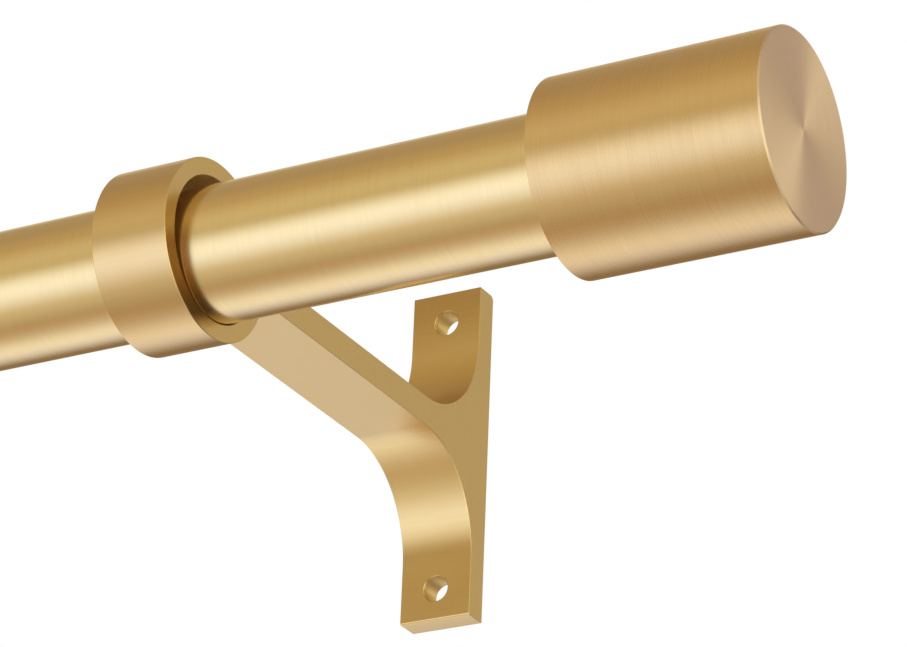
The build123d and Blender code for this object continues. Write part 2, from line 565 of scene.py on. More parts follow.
@dataclass(frozen=True)
class DarkCard:
    """The unlit side of the studio, bent round the rod where the camera stands. Only the metal sees it: a
    dark sheet that paints a dark reflection into it, with a warm glow on its upper part.

    Args:
        away: Its distance from the rod's axis.
        middle: Where its middle stands along the rod.
        half_length: Half its length along the rod.
        length_feather: Width of its soft ends.
        angle: Degrees round the rod of its middle.
        half_width: Half its width in degrees.
        width_feather: Width of its soft sides in degrees.
        colour: The little light that its lower part gives.
        dusk: The warmer light of its upper part.
        dusk_start: Degrees round the rod where that begins.
        dusk_full: Degrees round the rod where it is reached.
    """

    away: float = 0.60
    middle: float = 0.34
    half_length: float = 0.27
    length_feather: float = 0.10
    angle: float = -60.0
    half_width: float = 108.0
    width_feather: float = 44.0
    colour: Colour = (0.03, 0.012, 0.0015)
    dusk: Colour = (0.34, 0.16, 0.02)
    dusk_start: float = -120.0
    dusk_full: float = -30.0

    def hang(self) -> None:
        """Bends the card and dresses it."""
        bent = bmesh.new()
        foot = AXIS + Vector((self.middle, -self.away, 0))
        low, high = (bent.verts.new(foot + Vector((end * self.half_length, 0, 0))) for end in (-1, 1))
        start = Matrix.Rotation(-math.radians(self.angle - self.half_width), 3, "X")
        bmesh.ops.rotate(bent, cent=AXIS, matrix=start, verts=bent.verts[:])
        edge = bent.edges.new((low, high))
        spin(bent, [low, high, edge], AXIS, Way.ALONG.value, -math.radians(2 * self.half_width), FINE_STEPS)
        card = stand("dark_card", bent)
        bent.free()
        card.data.materials.append(self.reflection_sheet())
        # Painted dark reflection: the sheet shows only in the metal, never to the camera, to diffuse light or
        # to shadows.
        card.visible_camera = card.visible_diffuse = card.visible_shadow = False

    def reflection_sheet(self) -> bpy.types.Material:
        """Makes its dark, faintly glowing sheet, which thins out towards the edges.

        Returns:
            The material.
        """
        material, sheet = new_material("dark_reflection_sheet")
        x, y, z = sheet.parts(sheet.vector("SUBTRACT", sheet.place(), AXIS))
        round_rod = sheet.degrees_round_rod(y, z)
        aside = sheet.math("SUBTRACT", round_rod, self.angle)
        along = sheet.math("SUBTRACT", x, self.middle)
        cover = sheet.math(
            "MULTIPLY", sheet.near(aside, self.half_width - self.width_feather, self.half_width),
            sheet.near(along, self.half_length - self.length_feather, self.half_length))
        share = sheet.ramp(round_rod, self.dusk_start, self.dusk_full)
        dark = sheet.add("Emission", {"Color": sheet.mix(share, (*self.colour, 1), (*self.dusk, 1))})
        clear = sheet.add("BsdfTransparent")
        surface = sheet.add("MixShader", {0: cover, 1: clear.outputs[0], 2: dark.outputs[0]})
        sheet.add("OutputMaterial", {"Surface": surface.outputs[0]})
        return material


@dataclass(frozen=True)
class Studio:
    """A plain soft studio: panels of light all round, a white background and a pale floor.

    Args:
        gloom: The light between the panels.
        left_light: The light beyond the rod's left end.
        left_edge: How far to the left a direction points where that light begins, and where it is full.
        right_light: The light beyond its right end.
        right_edge: How far to the right a direction points where it begins, and where it is full.
        corner_light: The light of the corner between the right end and the wall.
        corner_edges: The same limits for it, to the right and to the wall.
        floor_drop: How far the floor lies under the rod's axis.
        floor_reach: Radius of the floor.
        floor_fade: Where the floor starts to fade and where it is gone, as shares of that radius.
        floor_colour: Its colour.
        lamp_watts: Power of the soft lamp that gives the floor and the plastics their shading.
        lamp_colour: Its colour, cool enough to make up for the warm panels.
        lamp_size: The length of its sides.
        lamp_place: Where it hangs.
        lamp_aim: The point that it is turned to.
        panels: The long panels round the rod.
        windows: The round softboxes at its right end.
        card: The dark side that the camera stands on.
    """

    gloom: Colour = (0.30, 0.205, 0.10)
    left_light: Colour = (0.66, 0.58, 0.44)
    left_edge: Span = (0.62, 0.95)
    right_light: Colour = (0.98, 0.905, 0.686)
    right_edge: Span = (0.3, 0.95)
    corner_light: Colour = (0.62, 0.52, 0.42)
    corner_edges: tuple[Span, Span] = ((0.02, 0.3), (0.0, 0.4))
    floor_drop: float = 0.62
    floor_reach: float = 3.2
    floor_fade: Span = (0.35, 0.97)
    floor_colour: Colour = (0.86, 0.89, 0.96)
    lamp_watts: float = 85.0
    lamp_colour: Colour = (0.78, 0.88, 1.0)
    lamp_size: float = 2.6
    lamp_place: Triple = (-0.4, -0.5, 1.9)
    lamp_aim: Triple = (-0.27, -0.1, 0.0)
    panels: tuple[SoftPanel, ...] = (
        SoftPanel("key", -20, 19, 17, (0.49, 0.67, 1.00)),
        SoftPanel("key_spill", -45, 31, 31, (0.52, 0.55, 0.44)),
        SoftPanel("warm_gap", -88, 12, 11, (0.10, 0.045, 0.0)),
        SoftPanel("front_fill", 12, 30, 19, (0.41, 0.43, 0.285)),
        SoftPanel("upper_fill", 58, 15, 14, (0.105, 0.08, 0.02)),
        SoftPanel("ceiling", 82, 51, 25, (0.21, 0.20, 0.14)),
        SoftPanel("back_fill", 142, 16, 12, (0.38, 0.36, 0.26)),
        SoftPanel("floor_bounce", -127, 26, 25, (0.85, 0.935, 0.93)),
        SoftPanel("floor_cool", -142, 15, 14, (0.0, 0.04, 0.17)),
    )
    windows: tuple[Window, ...] = (
        Window("by_the_wall", (0.763, 0.643, 0.098), 10.1, 5.1, (1.73, 1.79, 1.31)),
        Window("right_front", (0.88, -0.30, -0.10), 24.0, 8.0, (0.75, 0.78, 0.58)),
    )
    card: DarkCard = DarkCard()

    def build(self) -> None:
        """Makes the world, the floor and the lamp."""
        self.make_world()
        self.make_floor()
        self.make_lamp()
        self.card.hang()

    def make_world(self) -> None:
        """Sets up the world: white to the camera, and the panels to everything else."""
        world = bpy.data.worlds.new("studio")
        world.use_nodes = True
        world.node_tree.nodes.clear()
        bpy.context.scene.world = world
        sheet = NodeSheet(world.node_tree)
        ray = sheet.add("TexCoord").outputs["Generated"]
        x, y, z = sheet.parts(ray)
        angle = sheet.degrees_round_rod(y, z)
        light = sheet.joined(*self.gloom)
        for panel in self.panels:
            turned = sheet.math("WRAP", sheet.math("SUBTRACT", angle, float(panel.angle)), 180.0, -180.0)
            light = sheet.vector("ADD", light, glow(sheet, panel, turned))
        left = sheet.ramp(sheet.math("MULTIPLY", x, -1.0), *self.left_edge)
        to_right, to_wall = self.corner_edges
        corner = sheet.math("MULTIPLY", sheet.ramp(x, *to_right), sheet.ramp(y, *to_wall))
        right = sheet.ramp(x, *self.right_edge)
        sides = ((left, self.left_light), (corner, self.corner_light), (right, self.right_light))
        for share, colour in sides:
            light = sheet.mix(share, light, (*colour, 1))
        for window in self.windows:
            straight = sheet.vector("DOT_PRODUCT", ray, Vector(window.aim).normalized())
            turned = sheet.math("DEGREES", sheet.math("ARCCOSINE", straight))
            light = sheet.vector("ADD", light, glow(sheet, window, turned))
        seen = sheet.mix(sheet.add("LightPath").outputs["Is Camera Ray"], light, WHITE)
        background = sheet.add("Background", {"Color": seen, "Strength": 1.0})
        sheet.add("OutputWorld", {"Surface": background.outputs[0]})

    def make_floor(self) -> None:
        """Lays a pale round floor that fades into the background. From below it can't be seen."""
        height = AXIS.z - self.floor_drop
        disc = bmesh.new()
        bmesh.ops.create_circle(disc, cap_ends=True, radius=self.floor_reach, segments=FINE_STEPS,
                                matrix=Matrix.Translation((0, 0, height)))
        floor = stand("floor", disc)
        disc.free()
        material, sheet = new_material("pale_floor")
        away = sheet.vector("LENGTH", sheet.vector("MULTIPLY", sheet.place(), (1, 1, 0)))
        fade = sheet.ramp(away, *(share * self.floor_reach for share in self.floor_fade))
        hidden = sheet.math("MAXIMUM", fade, sheet.add("NewGeometry").outputs["Backfacing"])
        paint = sheet.add("BsdfDiffuse", {"Color": (*self.floor_colour, 1)})
        clear = sheet.add("BsdfTransparent")
        surface = sheet.add("MixShader", {0: hidden, 1: paint.outputs[0], 2: clear.outputs[0]})
        sheet.add("OutputMaterial", {"Surface": surface.outputs[0]})
        floor.data.materials.append(material)
        floor.visible_glossy = False

    def make_lamp(self) -> None:
        """Hangs a large soft lamp over the front of the rod. The metal doesn't mirror it."""
        lamp = bpy.data.lights.new("soft_lamp", "AREA")
        lamp.size = self.lamp_size
        lamp.energy = self.lamp_watts
        lamp.color = self.lamp_colour
        hung = bpy.data.objects.new("soft_lamp", lamp)
        bpy.context.scene.collection.objects.link(hung)
        hung.location = self.lamp_place
        aim = Vector(self.lamp_aim) - hung.location
        hung.rotation_euler = aim.to_track_quat("-Z", "Y").to_euler()
        hung.visible_glossy = False


@dataclass(frozen=True)
class PhotoView:
    """The photograph's camera, close under the front of the rod and looking up.

    Args:
        turn: Degrees that it stands round to the right of straight in front.
        rise: Degrees that it looks up.
        roll: Degrees that it leans to the left.
        distance: From the lens to the aimed plane.
        shift_right: How far the aimed point lies to the right of the rod's axis at the ring.
        shift_up: How far it lies above it.
        focal_pixels: Focal length in pixels of the photograph.
        sensor_mm: Width of the sensor.
        clip: The nearest and the farthest that it sees.
    """

    turn: float = 29.763
    rise: float = 25.085
    roll: float = 2.323
    distance: float = 0.743365
    shift_right: float = 0.042891
    shift_up: float = -0.012305
    focal_pixels: float = 4120.74
    sensor_mm: float = 36.0
    clip: Span = (0.01, 50.0)

    def build(self) -> None:
        """Makes the camera and sets it as the scene's own."""
        turn, rise, roll = (math.radians(a) for a in (self.turn, self.rise, self.roll))
        look = Vector((-math.sin(turn) * math.cos(rise), math.cos(turn) * math.cos(rise), math.sin(rise)))
        level = Vector((math.cos(turn), math.sin(turn), 0))
        upright = level.cross(look)
        right = level * math.cos(roll) + upright * math.sin(roll)
        up = upright * math.cos(roll) - level * math.sin(roll)
        ring_face = Vector((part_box("bracket_right")[1].x, AXIS.y, AXIS.z))
        place = ring_face - look * self.distance + right * self.shift_right + up * self.shift_up
        data = bpy.data.cameras.new("photo_view")
        data.sensor_width = self.sensor_mm
        data.lens = self.focal_pixels / PHOTO_WIDTH * self.sensor_mm
        data.clip_start, data.clip_end = self.clip
        camera = bpy.data.objects.new("photo_view", data)
        bpy.context.scene.collection.objects.link(camera)
        camera.matrix_world = Matrix.Translation(place) @ Matrix((right, up, -look)).transposed().to_4x4()
        bpy.context.scene.camera = camera


def brushing_group() -> bpy.types.NodeTree:
    """Fine lines that a brush leaves: long in two directions of its vector and fine in the third, X.

    Returns:
        A group with the inputs Vector, Lines per mm and Waver, and the outputs Fine, Broad and Height.
    """
    broad_stretch = (0.16, 0.4, 0.4)
    fine_share = 0.75
    inputs = {"Vector": None, "Lines per mm": 4.0, "Waver": LINE_WAVER}
    sheet = new_group("brush_lines", inputs, ("Fine", "Broad", "Height"))
    given = sheet.tree.nodes.new("NodeGroupInput").outputs
    per_metre = sheet.math("MULTIPLY", given["Lines per mm"], 1 / MM)
    long = sheet.math("MULTIPLY", per_metre, given["Waver"])
    place = sheet.vector("MULTIPLY", given["Vector"], sheet.joined(per_metre, long, long))
    fine = sheet.noise(place, 1.0, 3.0, 0.62)
    broad = sheet.noise(sheet.vector("MULTIPLY", place, broad_stretch), 1.0, 2.0, 0.5)
    return sheet.put_out({"Fine": fine, "Broad": broad, "Height": sheet.blend(fine, broad, fine_share)})


def clouding_group() -> bpy.types.NodeTree:
    """Slow, faint changes of tone, as handling and coating leave on any surface.

    Returns:
        A group with the inputs Vector and Size mm, and the output Mask.
    """
    sheet = new_group("slow_clouding", {"Vector": None, "Size mm": 12.0}, ("Mask",))
    given = sheet.tree.nodes.new("NodeGroupInput").outputs
    scale = sheet.math("DIVIDE", 1 / MM, given["Size mm"])
    return sheet.put_out({"Mask": sheet.noise(given["Vector"], scale, 2.0, 0.5)})


BRUSHING = brushing_group()
CLOUDING = clouding_group()


def clouds(sheet: NodeSheet, place: Socket, size_mm: float) -> Socket:
    """Adds slow clouding of a size and returns its mask."""
    return sheet.add("Group", {"Vector": place, "Size mm": size_mm}, node_tree=CLOUDING).outputs["Mask"]


# How far a face looks along the rod where the tone of an end or a corner begins, and where it is full. The
# corners' tone is a painted highlight.
END_FACING = (0.6, 0.8)
RIM_HIGHLIGHT_FACING = (0.45, 0.55)
RIM_HIGHLIGHT_PAST = (0.85, 0.95)
# The same for the lines of a sawn end, which change at once, and for faces that look down, whose paler colour
# is painted light.
SAWN_FACING = 0.7
LIT_DOWN_FACING = (0.05, 0.45)
# Where the other tones begin and are full: above the rod's axis, for the painted shade at the plate's upper
# end, and beyond a round of the bracket.
HEAD_SHADE_RISE = (16 * MM, 35 * MM)
RING_MARGIN = (0.05 * MM, 1.85 * MM)
BORE_MARGIN = (0.01 * MM, 0.06 * MM)
WALL_HOLE_MARGIN = (0.03 * MM, 0.10 * MM)


@dataclass(frozen=True)
class Tone:
    """A second colour and dullness on part of a piece; some of these colours are painted light or shade.

    Args:
        where: The part.
        colour: The metal's colour there.
        dulling: How much rougher the metal is there.
    """

    where: Where
    colour: Colour
    dulling: float = 1.0

    def share(self, sheet: NodeSheet, place: Socket, facing: Socket) -> Socket:
        """Tells how far the tone covers a point.

        Args:
            sheet: The material's nodes.
            place: The place from the piece's middle.
            facing: The way that the surface faces.

        Returns:
            1 where it covers all and 0 where it covers nothing.
        """
        faces = sheet.parts(facing)
        if self.where in (Where.ENDS, Where.RIM_HIGHLIGHT):
            square = sheet.math("ABSOLUTE", faces[0])
            if self.where is Where.ENDS:
                return sheet.ramp(square, *END_FACING)
            # The band of eased corners, where the painted highlight colour goes.
            past = sheet.ramp(square, *RIM_HIGHLIGHT_PAST)
            return sheet.math("SUBTRACT", sheet.ramp(square, *RIM_HIGHLIGHT_FACING), past)
        # Painted shade: darker towards the plate's upper end.
        if self.where is Where.SHADED_PLATE_TOP:
            return sheet.ramp(sheet.parts(place)[2], *HEAD_SHADE_RISE)
        if self.where is Where.WALL_HOLES:
            x, _, z = sheet.parts(place)
            up = sheet.math("SUBTRACT", sheet.math("ABSOLUTE", z), WALL_HOLE_PITCH / 2)
            off = sheet.vector("LENGTH", sheet.joined(x, up))
            return sheet.rest(sheet.beyond(off, WALL_HOLE_RADIUS, WALL_HOLE_MARGIN))
        away = sheet.vector("LENGTH", sheet.vector("MULTIPLY", place, (0, 1, 1)))
        if self.where is Where.BORE:
            return sheet.rest(sheet.beyond(away, BORE_RADIUS, BORE_MARGIN))
        outside = sheet.beyond(away, RING_RADIUS, RING_MARGIN)
        if self.where is Where.ARM_AND_PLATE:
            return outside
        # Painted light: the arm's and plate's faces that look down turn paler, as if lit from below.
        down = sheet.ramp(sheet.math("MULTIPLY", faces[2], -1.0), *LIT_DOWN_FACING)
        return sheet.math("MULTIPLY", outside, down)


@dataclass(frozen=True)
class Brass:
    """Satin brass with brushed lines.

    Args:
        name: The material's name.
        colour: The metal's colour.
        roughness: How wide it spreads what it mirrors.
        spread: How much wider it spreads it across the lines than along them.
        lay: How the lines run.
        centre: A point on the axis that the lines run round.
        lines_per_mm: How fine the lines are.
        contrast: How far the lines change the colour.
        depth: Depth of the lines in metres.
        tones: Second colours, each over the ones before it.
        end_contrast: How much of the lines' contrast is left on the faces square to the rod.
        fine_share: How much of that contrast comes from the finest lines.
        rough_swing: The least and the most that the lines change the roughness.
        cloud_mm: Size of the slow changes of tone.
        cloud_span: The part of that pattern which changes the tone.
        most_rose: How far it changes it at most.
        rose: What it multiplies the colour by.
    """

    name: str
    colour: Colour
    roughness: float
    spread: float
    lay: Lay
    centre: Vector
    lines_per_mm: float = 5.0
    contrast: float = 0.10
    depth: float = 2e-6
    tones: tuple[Tone, ...] = ()
    end_contrast: float = 1.0
    fine_share: float = 0.8
    rough_swing: Span = (0.94, 1.06)
    cloud_mm: float = 14.0
    cloud_span: Span = (0.35, 0.7)
    most_rose: float = 0.35
    rose: Colour = (1, 0.965, 0.93)

    def make(self) -> bpy.types.Material:
        """Builds the material.

        Returns:
            The finished material.
        """
        material, sheet = new_material(self.name)
        place = sheet.vector("SUBTRACT", sheet.place(), self.centre)
        facing = sheet.add("NewGeometry").outputs["Normal"]
        lay = self.round_lay if self.lay is Lay.ROUND else self.drawn_lay
        pattern, across = lay(sheet, place, facing)
        brushed = {"Vector": pattern, "Lines per mm": self.lines_per_mm}
        lines = sheet.add("Group", brushed, node_tree=BRUSHING).outputs
        base = sheet.joined(*self.colour)
        dulled = self.roughness
        for second in self.tones:
            share = second.share(sheet, place, facing)
            base = sheet.mix(share, base, (*second.colour, 1))
            dulled = sheet.remap(share, SHARE_SPAN, (dulled, self.roughness * second.dulling))
        end = Tone(Where.ENDS, self.colour).share(sheet, place, facing)
        swing = sheet.remap(end, SHARE_SPAN, (self.contrast, self.contrast * self.end_contrast))
        tone = sheet.blend(lines["Fine"], lines["Broad"], self.fine_share)
        level = sheet.math("MULTIPLY_ADD", sheet.remap(tone, NOISE_SPAN, (-1.0, 1.0)), swing, 1.0)
        drift = sheet.remap(clouds(sheet, place, self.cloud_mm), self.cloud_span, (0.0, self.most_rose))
        rosy = sheet.mix(drift, WHITE, (*self.rose, 1))
        rough = sheet.math("MULTIPLY", dulled, sheet.remap(lines["Broad"], NOISE_SPAN, self.rough_swing))
        relief = sheet.remap(end, SHARE_SPAN, (1.0, self.end_contrast))
        bump = sheet.add("Bump", {"Height": lines["Height"], "Distance": self.depth, "Strength": relief})
        metal = sheet.add("BsdfPrincipled", {
            "Base Color": sheet.vector("MULTIPLY", sheet.scaled(base, level), rosy), "Metallic": 1.0,
            "Roughness": rough, "Anisotropic": self.spread, "Tangent": across, "Normal": bump.outputs[0],
        })
        sheet.add("OutputMaterial", {"Surface": metal.outputs[0]})
        return material

    @staticmethod
    def round_lay(sheet: NodeSheet, place: Socket, facing: Socket) -> tuple[Socket, Socket]:
        """Lines round the axis, which become rings on the end faces.

        Args:
            sheet: The material's nodes.
            place: The place from the axis.
            facing: The way that the surface faces.

        Returns:
            The vector for the lines and the direction across them.
        """
        x, y, z = sheet.parts(place)
        away = sheet.vector("MULTIPLY", place, (0, 1, 1))
        radius = sheet.vector("LENGTH", away)
        pattern = sheet.joined(sheet.math("ADD", x, radius), y, z)
        along = sheet.vector("CROSS_PRODUCT", (1, 0, 0), away)
        across = sheet.vector("CROSS_PRODUCT", facing, sheet.vector("NORMALIZE", along))
        return pattern, across

    @staticmethod
    def drawn_lay(sheet: NodeSheet, place: Socket, facing: Socket) -> tuple[Socket, Socket]:
        """Lines along the rod on the swept faces, and up and down on the sawn ends.

        Args:
            sheet: The material's nodes.
            place: The place from the piece's middle.
            facing: The way that the surface faces.

        Returns:
            The vector for the lines and the direction across them.
        """
        x, y, z = sheet.parts(place)
        swept = sheet.joined(y, x, sheet.math("DIVIDE", z, LINE_WAVER))
        sawn = sheet.joined(y, z, x)
        sideways = sheet.math("GREATER_THAN", sheet.math("ABSOLUTE", sheet.parts(facing)[0]), SAWN_FACING)
        run = sheet.mix(sideways, (1, 0, 0), (0, 0, 1), "VECTOR")
        across = sheet.vector("CROSS_PRODUCT", facing, run)
        return sheet.mix(sideways, swept, sawn, "VECTOR"), across


@dataclass(frozen=True)
class Plastic:
    """Moulded nylon with the faint grain of its mould.

    Args:
        name: The material's name.
        colour: Its colour.
        roughness: How dull it is.
        rough_swing: How far the grain changes that, down and up.
        grain_mm: Size of the mould's grain.
        grain_depth: Its depth.
        grain_strength: How much of that depth the light shows.
        cloud_mm: Size of the slow changes of tone.
        shade: How dark these are at most, as a share of the colour.
    """

    name: str
    colour: Colour
    roughness: float = 0.46
    rough_swing: Span = (-0.05, 0.06)
    grain_mm: float = 0.35
    grain_depth: float = 0.012 * MM
    grain_strength: float = 0.6
    cloud_mm: float = 6.0
    shade: float = 0.88

    def make(self) -> bpy.types.Material:
        """Builds the material.

        Returns:
            The finished material.
        """
        material, sheet = new_material(self.name)
        place = sheet.place()
        grain = clouds(sheet, place, self.grain_mm)
        deeper = (*(part * self.shade for part in self.colour), 1)
        smoothest, dullest = (self.roughness + swing for swing in self.rough_swing)
        relief = {"Height": grain, "Distance": self.grain_depth, "Strength": self.grain_strength}
        bump = sheet.add("Bump", relief)
        nylon = sheet.add("BsdfPrincipled", {
            "Base Color": sheet.mix(clouds(sheet, place, self.cloud_mm), (*self.colour, 1), deeper),
            "Roughness": sheet.remap(grain, NOISE_SPAN, (smoothest, dullest)),
            "Normal": bump.outputs[0], "IOR": 1.53,
        })
        sheet.add("OutputMaterial", {"Surface": nylon.outputs[0]})
        return material


@dataclass(frozen=True)
class DarkSteel:
    """Black oxide on the grub screws, worn to bare steel in places.

    Args:
        name: The material's name.
        oxide: Colour of the oxide.
        bare: Colour of the steel where the oxide is rubbed.
        rub_mm: Size of the rubbed places.
        rub_span: The part of their pattern where the steel shows.
        most_bare: How much of it shows at most.
        rough_span: Roughness of the oxide and of the rubbed places.
        rub_depth: How deep they are.
        rub_strength: How much of that depth the light shows.
    """

    name: str
    oxide: Colour = (0.075, 0.070, 0.066)
    bare: Colour = (0.34, 0.33, 0.31)
    rub_mm: float = 0.8
    rub_span: Span = (0.56, 0.70)
    most_bare: float = 0.55
    rough_span: Span = (0.46, 0.34)
    rub_depth: float = 0.01 * MM
    rub_strength: float = 0.5

    def make(self) -> bpy.types.Material:
        """Builds the material.

        Returns:
            The finished material.
        """
        material, sheet = new_material(self.name)
        rubbed = clouds(sheet, sheet.place(), self.rub_mm)
        share = sheet.remap(rubbed, self.rub_span, (0.0, self.most_bare))
        relief = {"Height": rubbed, "Distance": self.rub_depth, "Strength": self.rub_strength}
        bump = sheet.add("Bump", relief)
        steel = sheet.add("BsdfPrincipled", {
            "Base Color": sheet.mix(share, (*self.oxide, 1), (*self.bare, 1)), "Metallic": 1.0,
            "Roughness": sheet.remap(rubbed, NOISE_SPAN, self.rough_span), "Normal": bump.outputs[0],
        })
        sheet.add("OutputMaterial", {"Surface": steel.outputs[0]})
        return material


@dataclass(frozen=True)
class GrubScrew:
    """A headless screw with a thread, a hexagon socket and a chamfered point.

    Args:
        node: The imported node.
        body: The half of the rod that it belongs to.
        way: The direction that its socket faces.
        pitch: Pitch of the thread.
        thread_depth: Depth of the thread.
        rib_crest: Half the width of its crest, as a share of the pitch.
        rib_root: Half the width of its root, as a share of the pitch.
        rib_sunk: How deep the rib reaches, as a share of the thread's depth.
        key_across_flats: Size of the hexagon key.
        key_depth: Depth of the socket.
        edge: Width of the chamfer at the socket end.
        point: Width of the chamfer at the point.
    """

    node: str
    body: str
    way: Way
    pitch: float = 0.7 * MM
    thread_depth: float = 0.38 * MM
    rib_crest: float = 0.06
    rib_root: float = 0.44
    rib_sunk: float = 1.15
    key_across_flats: float = 2.0 * MM
    key_depth: float = 1.8 * MM
    edge: float = 0.3 * MM
    point: float = 0.6 * MM

    def build(self, material: bpy.types.Material) -> None:
        """Makes the screw from the box of its node.

        Args:
            material: Its finish.
        """
        low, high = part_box(self.node)
        radius = (high.x - low.x) / 2
        tilt = self.way.value.xzy
        middle = (low.x + high.x) / 2
        head = Vector((middle, high.y, high.z)) - tilt * radius
        tip = Vector((middle, low.y, low.z)) + tilt * (radius - self.point)
        length = (head - tip).dot(self.way.value)
        spindle = Spindle(head - self.way.value * length, self.way)
        core = radius - self.thread_depth
        outline = [(0, 0), (0, core - self.point / 2), (self.point / 2, core), (length, core), (length, 0)]
        screw = Workpiece().turn(outline, spindle, FINE_STEPS // 2)
        screw.cut(self.key(spindle, length)).carry(self.thread(spindle, radius, length))
        screw.finish(self.node, self.body, "screw", material)

    def thread(self, spindle: Spindle, radius: float, length: float) -> Workpiece:
        """Winds one closed rib round the screw.

        Args:
            spindle: The screw's axis, from its point.
            radius: Radius of the crest.
            length: Length of the screw.

        Returns:
            The rib.
        """
        rib = Workpiece()
        start = self.point + self.pitch / 2
        turns = int((length - self.edge - start - self.pitch / 2) / self.pitch)
        root = radius - self.thread_depth * self.rib_sunk
        foot, crest = self.rib_root * self.pitch, self.rib_crest * self.pitch
        section = [
            (start - foot, root), (start - crest, radius), (start + crest, radius), (start + foot, root)]
        corners = [rib.mesh.verts.new(spindle.place(along, away)) for along, away in section]
        first = rib.mesh.faces.new(corners)
        axis = spindle.way.value
        climb = axis * (self.pitch / THREAD_STEPS)
        spin(rib.mesh, [first], spindle.foot, axis, TURN * turns, THREAD_STEPS * turns, climb)
        return rib.weld()

    def key(self, spindle: Spindle, length: float) -> Workpiece:
        """The hexagon that the key leaves, as a tool to cut with.

        Args:
            spindle: The screw's axis, from its point.
            length: Length of the screw.

        Returns:
            The tool.
        """
        corner = self.key_across_flats / 2 / math.cos(math.pi / HEXAGON_STEPS)
        inner, outer = length - self.key_depth, length + self.key_depth
        outline = [(inner, 0), (inner, corner), (outer, corner), (outer, 0)]
        return Workpiece().turn(outline, spindle, HEXAGON_STEPS)


def screw_hole(
        middle: Vector, way: Way, inside: float, surface: float, radius: float, sink: float) -> Workpiece:
    """A tool that drills and countersinks a grub screw's hole.

    Args:
        middle: The point of the rod's axis under the screw.
        way: The direction from the rod to the hole's mouth.
        inside: Where the hole starts, from that point.
        surface: Where its mouth is.
        radius: Its radius.
        sink: Width of the countersink.

    Returns:
        The tool.
    """
    beyond = 4 * sink
    outline = [(inside, 0), (inside, radius), (surface - sink, radius),
               (surface + beyond, radius + sink + beyond), (surface + beyond, 0)]
    return Workpiece().turn(outline, Spindle(middle, way), FINE_STEPS)


@dataclass(frozen=True)
class Tube:
    """A length of brushed tube.

    Args:
        node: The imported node.
        body: The half of the rod that it belongs to.
        wall: Its wall.
        edge: Width of the eased outer corner.
    """

    node: str
    body: str
    wall: float
    edge: float = 0.15 * MM

    def build(self, material: bpy.types.Material) -> None:
        """Makes the tube from the box of its node.

        Args:
            material: Its finish.
        """
        low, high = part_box(self.node)
        radius = (high.z - low.z) / 2
        bore = radius - self.wall
        tube = Workpiece().turn([(low.x, bore), (low.x, radius), (high.x, radius), (high.x, bore)], ROD)
        tube.ease(self.edge, lambda _: True, segments=1)
        tube.finish(self.node, self.body, "tube", material)


@dataclass(frozen=True)
class Cap:
    """A turned end cap with a stepped bore and a screw hole that faces the wall.

    Args:
        node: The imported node.
        body: The half of the rod that it belongs to.
        outward: 1 where it points along +X and -1 where it points the other way.
        socket_radius: Radius of the bore that the tube sits in.
        socket_depth: Depth of that bore.
        relief_radius: Radius of the deeper bore.
        relief_depth: Depth of the deeper bore.
        drill_point: Length of the cone at its bottom.
        edge: Width of the eased outer corners.
        lead: Width of the chamfer at the mouth.
        hole_radius: Radius of the screw hole.
        sink: Width of its countersink.
    """

    node: str
    body: str
    outward: int
    socket_radius: float = 12.75 * MM
    socket_depth: float = 20.0 * MM
    relief_radius: float = 10.8 * MM
    relief_depth: float = 32.0 * MM
    drill_point: float = 5.0 * MM
    edge: float = 0.3 * MM
    lead: float = 0.4 * MM
    hole_radius: float = 2.05 * MM
    sink: float = 0.5 * MM

    def build(self, material: bpy.types.Material) -> None:
        """Makes the cap from the box of its node.

        Args:
            material: Its finish.
        """
        low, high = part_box(self.node)
        radius = (high.z - low.z) / 2
        length = high.x - low.x
        mouth = low.x if self.outward > 0 else high.x
        section = [
            (0, self.socket_radius), (0, radius), (length, radius), (length, 0),
            (self.relief_depth + self.drill_point, 0), (self.relief_depth, self.relief_radius),
            (self.socket_depth, self.relief_radius), (self.socket_depth, self.socket_radius),
        ]
        outline = [(mouth + self.outward * depth, away) for depth, away in section]
        cap = Workpiece().turn(outline, ROD)
        rim = radius - self.edge

        def outer(point: Vector) -> bool:
            """Says whether a point lies on an outer corner."""
            return (point - AXIS).yz.length > rim

        def inner(point: Vector) -> bool:
            """Says whether a point lies on the mouth's inner corner."""
            return abs(point.x - mouth) < WELD and (point - AXIS).yz.length < rim

        cap.ease(self.edge, outer, segments=1)
        cap.ease(self.lead, inner, segments=1)
        under = AXIS + Vector((mouth + self.outward * self.socket_depth / 2, 0, 0))
        cap.cut(screw_hole(under, Way.TO_WALL, self.relief_radius, radius, self.hole_radius, self.sink))
        cap.finish(self.node, self.body, "finial", material)


